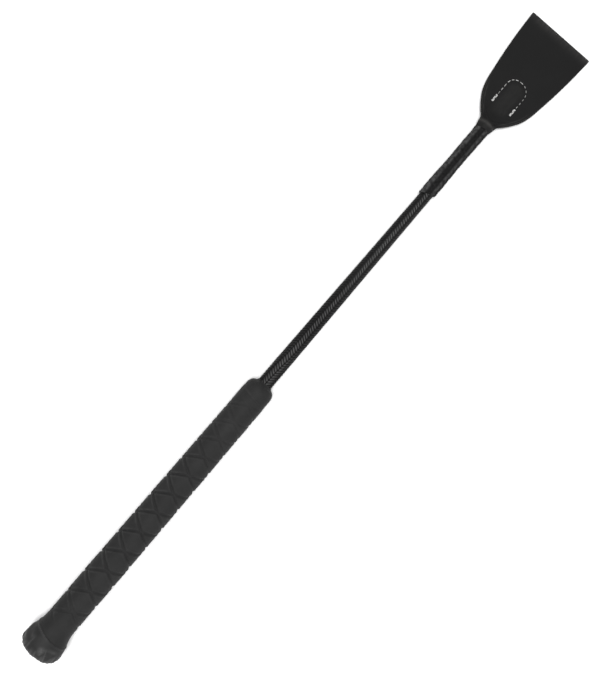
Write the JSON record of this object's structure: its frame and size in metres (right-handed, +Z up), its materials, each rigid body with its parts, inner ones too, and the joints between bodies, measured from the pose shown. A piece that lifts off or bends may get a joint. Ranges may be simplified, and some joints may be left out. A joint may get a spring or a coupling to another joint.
{
  "type": "riding crop",
  "caption": "Short riding crop with a domed-butt rubber handle, tapered braided shaft, bound keeper and broad folded leather flapper that flexes at its neck.",
  "frame": {"origin": "under the middle of the crop's length, on the flat surface that it lies on", "axes": "+X along the crop from the butt to the flapper, +Y across the flapper's width, +Z up, normal to the surface that the crop lies on"},
  "size_m": [0.508, 0.0468, 0.0271],
  "materials": {
    "fibreglass": "pultruded glass fibre rod, hidden under the braid",
    "braid": "fine black nylon braid with a glossy dressing",
    "tip_plastic": "moulded black cap on the rod's end",
    "core_foam": "rigid foam build-up tube",
    "grip_rubber": "matt black rubber with criss-cross grooves",
    "collar_rubber": "smooth satin black rubber",
    "plug_wood": "turned hardwood, hidden under the butt cap",
    "cap_rubber": "satin black rubber, puckered round the pit",
    "tack_steel": "blackened steel tack head",
    "binding_thread": "waxed black whipping thread, hidden under the keeper",
    "keeper_tape": "wound black tape, wrinkled and part glossy",
    "flapper_leather": "matt black fine-grain leather, paler along the folded edge",
    "tongue_leather": "firm undyed leather strip between the leaves",
    "stitch_thread": "off-white waxed thread"
  },
  "bodies": {
    "stick": {"core_rod": "fibreglass", "braided_cover": "braid", "tip_cap": "tip_plastic", "handle_core": "core_foam", "grip_sleeve": "grip_rubber", "mouth_collar": "collar_rubber", "butt_plug": "plug_wood", "butt_cap": "cap_rubber", "cap_tack": "tack_steel", "keeper_binding": "binding_thread", "keeper_wrap": "keeper_tape", "leather_tail_upper": "flapper_leather", "leather_tail_lower": "flapper_leather"},
    "flap": {"flapper": "flapper_leather", "flapper_tongue": "tongue_leather", "needle_thread": "stitch_thread", "bobbin_thread": "stitch_thread"}
  },
  "joints": [
    {"name": "flapper_flex", "type": "hinge", "parent": "stick", "child": "flap", "pos_m": [0.18614, 0, 0.00501], "axis": [0, 1, 0], "range_deg": [-45, 45], "stiffness_Nm_per_rad": 0.06}
  ]
}
